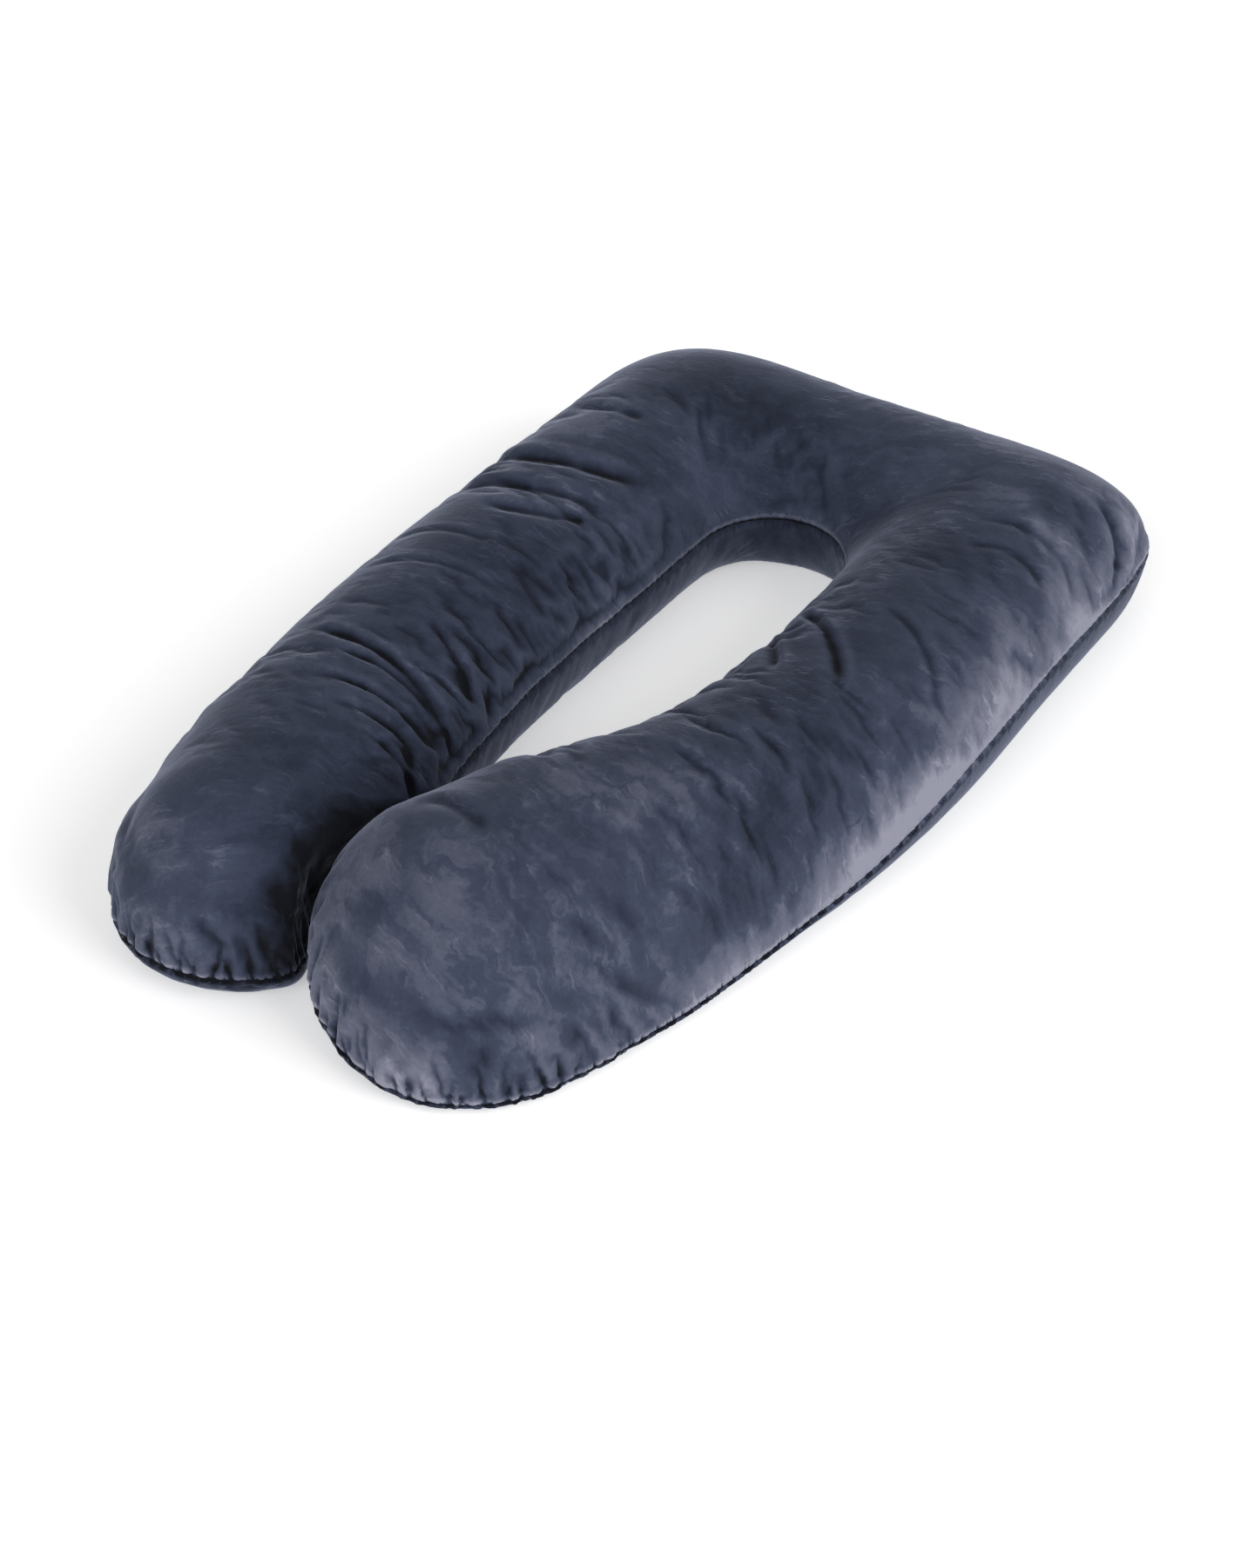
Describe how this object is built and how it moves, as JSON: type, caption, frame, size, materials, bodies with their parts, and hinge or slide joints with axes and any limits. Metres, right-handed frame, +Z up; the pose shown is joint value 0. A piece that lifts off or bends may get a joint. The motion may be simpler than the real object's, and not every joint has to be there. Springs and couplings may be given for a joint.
{
  "type": "pregnancy pillow",
  "caption": "U-shaped full-body pregnancy pillow in slate blue velvet, filled tight, with a closed head end and arms that a person lies between.",
  "frame": {"origin": "on the surface that the pillow lies on, under the middle of its bounding box", "axes": "+Z up; +Y along the pillow from the ends of its arms to its closed head end; the arm whose end curls in further is at +X"},
  "size_m": [0.7752, 1.2474, 0.2144],
  "materials": {
    "velvet": "short-pile slate blue velvet, soft sheen, brushed nap"
  },
  "bodies": {
    "root": {"pillow": "velvet"}
  },
  "joints": []
}
